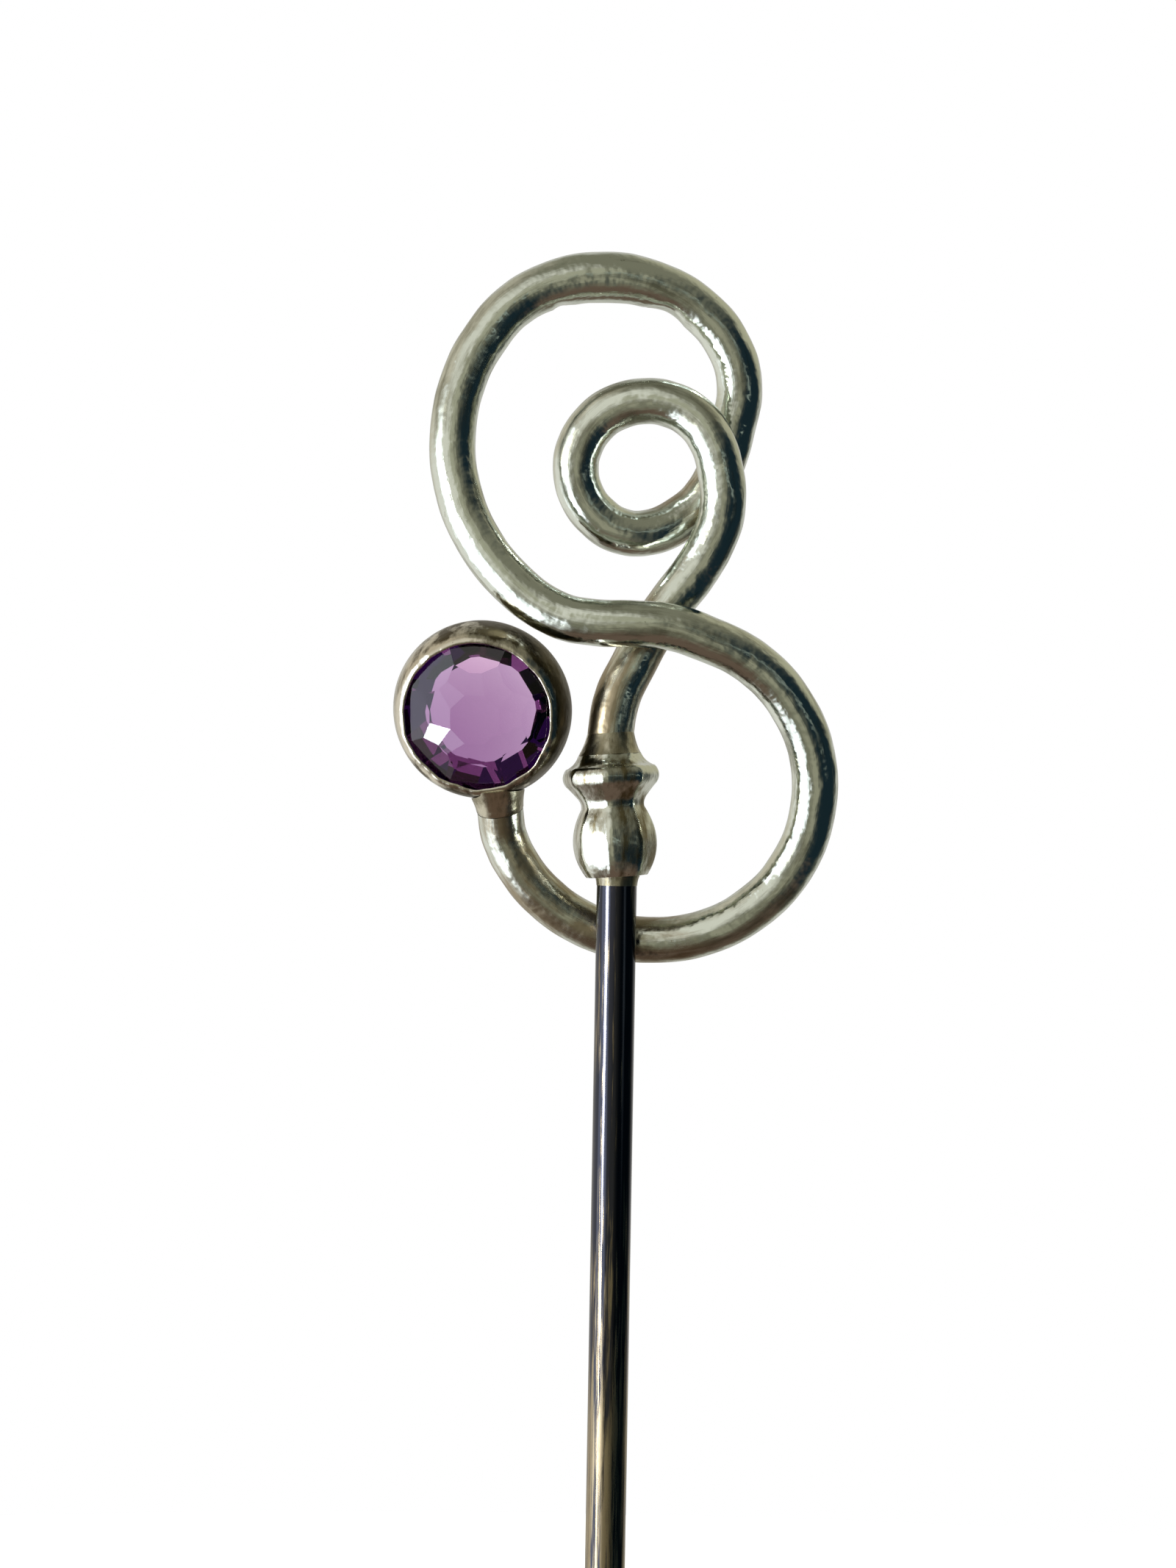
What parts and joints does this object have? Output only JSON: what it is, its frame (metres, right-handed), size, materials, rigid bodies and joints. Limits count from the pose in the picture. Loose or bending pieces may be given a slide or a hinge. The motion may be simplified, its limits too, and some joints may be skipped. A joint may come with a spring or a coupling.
{
  "type": "hat pin",
  "caption": "Hat pin with a bent silver wire scroll head, a collet-set round violet stone, a faceted knop and a long pointed steel shank.",
  "frame": {"origin": "middle of the knop's lower end face, on the axis of the shank, where the shank leaves the knop", "axes": "+Z along the shank from its point to the head, +Y from the face of the scroll to its back, +X to the right when the scroll is seen from the front"},
  "size_m": [0.0144, 0.0043, 0.1697],
  "materials": {
    "silver": "sterling silver, hand polished and worn, with light grey-brown tarnish",
    "collet_silver": "sterling silver with brown tarnish on the wall and a bright rubbed lip",
    "solder": "silver solder, satin, slightly yellow",
    "steel": "drawn steel, polished dark, with brown age spots",
    "stone": "polished facets, clear violet"
  },
  "bodies": {
    "root": {"scroll_wire": "silver", "knop": "silver", "shank": "steel", "collet": "collet_silver", "bearing_ring": "silver", "amethyst": "stone", "collet_solder": "solder", "wire_solder": "solder", "shank_solder": "solder"}
  },
  "joints": []
}
